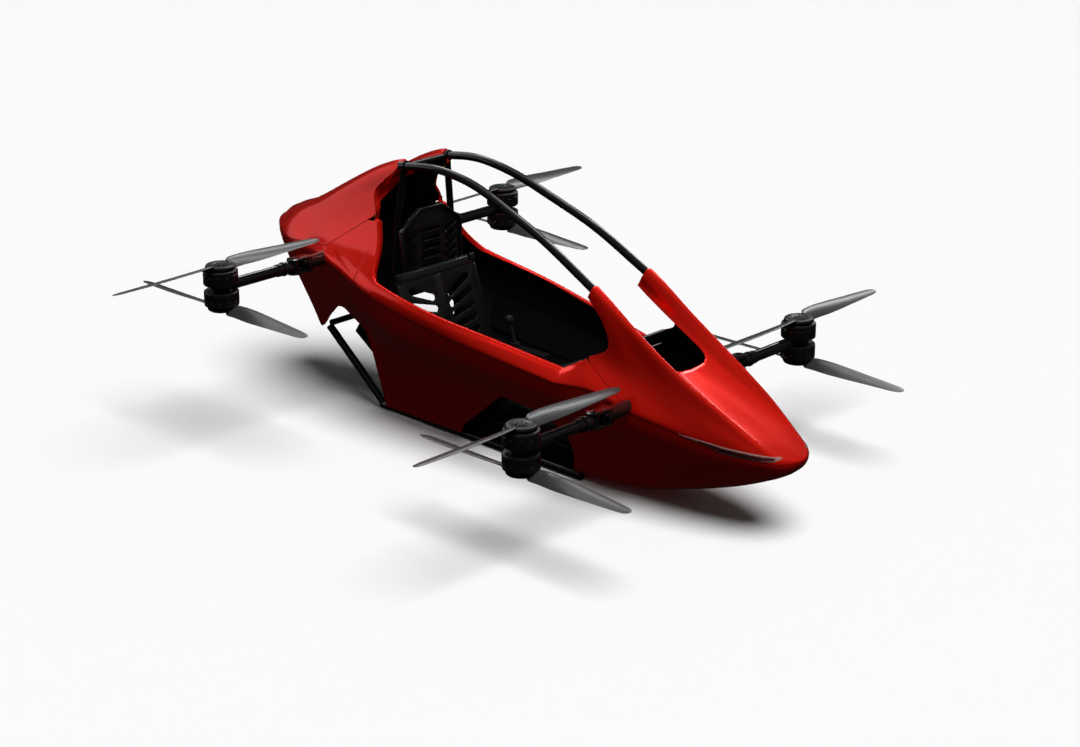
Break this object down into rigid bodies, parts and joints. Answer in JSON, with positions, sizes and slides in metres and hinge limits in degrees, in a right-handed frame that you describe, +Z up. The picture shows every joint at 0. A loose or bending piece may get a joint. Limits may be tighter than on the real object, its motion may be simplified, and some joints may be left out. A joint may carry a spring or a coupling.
{
  "type": "single-seat multirotor evtol aircraft",
  "caption": "One-seat open-cockpit electric multirotor aircraft with a red shell, tube frame, roll bars, folding arms and coaxial propeller pairs.",
  "frame": {"origin": "on the ground below the middle of the overall box, with every joint at rest", "axes": "+Z up, nose towards -Y, +X to the port side"},
  "size_m": [2.4, 2.578, 1.0118],
  "materials": {
    "hull_paint": "gloss",
    "frame_tube": "gloss",
    "cockpit_black": "matte",
    "seat_shell": "satin",
    "grip": "matte",
    "clamp_metal": "polished",
    "arm_tube": "gloss",
    "motor": "satin",
    "blade": "gloss"
  },
  "bodies": {
    "airframe": {"nose_shell": "hull_paint", "side_panel_left": "hull_paint", "side_panel_right": "hull_paint", "tail_hump_left": "hull_paint", "tail_hump_right": "hull_paint", "roll_bar_left": "frame_tube", "roll_bar_right": "frame_tube", "roll_bar_crossbar": "frame_tube", "main_post_left": "frame_tube", "main_post_right": "frame_tube", "mid_crossbar": "frame_tube", "skid_rail_left": "frame_tube", "skid_rail_right": "frame_tube", "rail_crossbars": "frame_tube", "rear_brace_left": "frame_tube", "rear_brace_right": "frame_tube", "tail_crossbar": "frame_tube", "front_spar": "frame_tube", "rear_spar": "frame_tube", "dash_bars": "frame_tube", "foot_rest": "frame_tube", "seat_tubes": "frame_tube", "cockpit_liner_left": "cockpit_black", "cockpit_liner_right": "cockpit_black", "rear_deck": "cockpit_black", "rear_bulkhead": "cockpit_black", "battery_pack": "cockpit_black", "armrests": "cockpit_black", "seat_back": "seat_shell", "seat_pan": "seat_shell", "head_rest": "seat_shell", "control_sticks": "grip", "roll_bar_collars": "clamp_metal", "arm_mounts": "clamp_metal"},
    "arm_front_left": {"arm_front_left": "arm_tube", "motor_upper_front_left": "motor"},
    "lower_motor_front_left": {"motor_lower_front_left": "motor"},
    "upper_propeller_front_left": {"propeller_upper_front_left": "blade"},
    "lower_propeller_front_left": {"propeller_lower_front_left": "blade"},
    "arm_front_right": {"arm_front_right": "arm_tube", "motor_upper_front_right": "motor"},
    "lower_motor_front_right": {"motor_lower_front_right": "motor"},
    "upper_propeller_front_right": {"propeller_upper_front_right": "blade"},
    "lower_propeller_front_right": {"propeller_lower_front_right": "blade"},
    "arm_rear_left": {"arm_rear_left": "arm_tube", "motor_upper_rear_left": "motor"},
    "lower_motor_rear_left": {"motor_lower_rear_left": "motor"},
    "upper_propeller_rear_left": {"propeller_upper_rear_left": "blade"},
    "lower_propeller_rear_left": {"propeller_lower_rear_left": "blade"},
    "arm_rear_right": {"arm_rear_right": "arm_tube", "motor_upper_rear_right": "motor"},
    "lower_motor_rear_right": {"motor_lower_rear_right": "motor"},
    "upper_propeller_rear_right": {"propeller_upper_rear_right": "blade"},
    "lower_propeller_rear_right": {"propeller_lower_rear_right": "blade"}
  },
  "joints": [
    {"name": "arm_fold_front_left", "type": "hinge", "parent": "airframe", "child": "arm_front_left", "pos_m": [0.385, -0.707, 0.3786], "axis": [0, 0, 1], "range_deg": [0, 90]},
    {"name": "lower_park_front_left", "type": "hinge", "parent": "arm_front_left", "child": "lower_motor_front_left", "pos_m": [0.728, -0.707, 0.3406], "axis": [0, 0, 1], "range_deg": [-90, 0]},
    {"name": "upper_spin_front_left", "type": "hinge", "parent": "arm_front_left", "child": "upper_propeller_front_left", "pos_m": [0.728, -0.707, 0.4576], "axis": [0, 0, 1], "continuous": true},
    {"name": "lower_spin_front_left", "type": "hinge", "parent": "lower_motor_front_left", "child": "lower_propeller_front_left", "pos_m": [0.728, -0.707, 0.2996], "axis": [0, 0, 1], "continuous": true},
    {"name": "arm_fold_front_right", "type": "hinge", "parent": "airframe", "child": "arm_front_right", "pos_m": [-0.385, -0.707, 0.3786], "axis": [0, 0, -1], "range_deg": [0, 90]},
    {"name": "lower_park_front_right", "type": "hinge", "parent": "arm_front_right", "child": "lower_motor_front_right", "pos_m": [-0.728, -0.707, 0.3406], "axis": [0, 0, -1], "range_deg": [-90, 0]},
    {"name": "upper_spin_front_right", "type": "hinge", "parent": "arm_front_right", "child": "upper_propeller_front_right", "pos_m": [-0.728, -0.707, 0.4576], "axis": [0, 0, 1], "continuous": true},
    {"name": "lower_spin_front_right", "type": "hinge", "parent": "lower_motor_front_right", "child": "lower_propeller_front_right", "pos_m": [-0.728, -0.707, 0.2996], "axis": [0, 0, 1], "continuous": true},
    {"name": "arm_fold_rear_left", "type": "hinge", "parent": "airframe", "child": "arm_rear_left", "pos_m": [0.385, 0.817, 0.5862], "axis": [0, 0, -1], "range_deg": [0, 90]},
    {"name": "lower_park_rear_left", "type": "hinge", "parent": "arm_rear_left", "child": "lower_motor_rear_left", "pos_m": [0.728, 0.817, 0.5482], "axis": [0, 0, -1], "range_deg": [-90, 0]},
    {"name": "upper_spin_rear_left", "type": "hinge", "parent": "arm_rear_left", "child": "upper_propeller_rear_left", "pos_m": [0.728, 0.817, 0.6652], "axis": [0, 0, 1], "continuous": true},
    {"name": "lower_spin_rear_left", "type": "hinge", "parent": "lower_motor_rear_left", "child": "lower_propeller_rear_left", "pos_m": [0.728, 0.817, 0.5072], "axis": [0, 0, 1], "continuous": true},
    {"name": "arm_fold_rear_right", "type": "hinge", "parent": "airframe", "child": "arm_rear_right", "pos_m": [-0.385, 0.817, 0.5862], "axis": [0, 0, 1], "range_deg": [0, 90]},
    {"name": "lower_park_rear_right", "type": "hinge", "parent": "arm_rear_right", "child": "lower_motor_rear_right", "pos_m": [-0.728, 0.817, 0.5482], "axis": [0, 0, 1], "range_deg": [-90, 0]},
    {"name": "upper_spin_rear_right", "type": "hinge", "parent": "arm_rear_right", "child": "upper_propeller_rear_right", "pos_m": [-0.728, 0.817, 0.6652], "axis": [0, 0, 1], "continuous": true},
    {"name": "lower_spin_rear_right", "type": "hinge", "parent": "lower_motor_rear_right", "child": "lower_propeller_rear_right", "pos_m": [-0.728, 0.817, 0.5072], "axis": [0, 0, 1], "continuous": true}
  ],
  "couplings": [
    {"joint": "lower_park_front_left", "follows": "arm_fold_front_left", "ratio": -1},
    {"joint": "lower_park_front_right", "follows": "arm_fold_front_right", "ratio": -1},
    {"joint": "lower_park_rear_left", "follows": "arm_fold_rear_left", "ratio": -1},
    {"joint": "lower_park_rear_right", "follows": "arm_fold_rear_right", "ratio": -1}
  ]
}
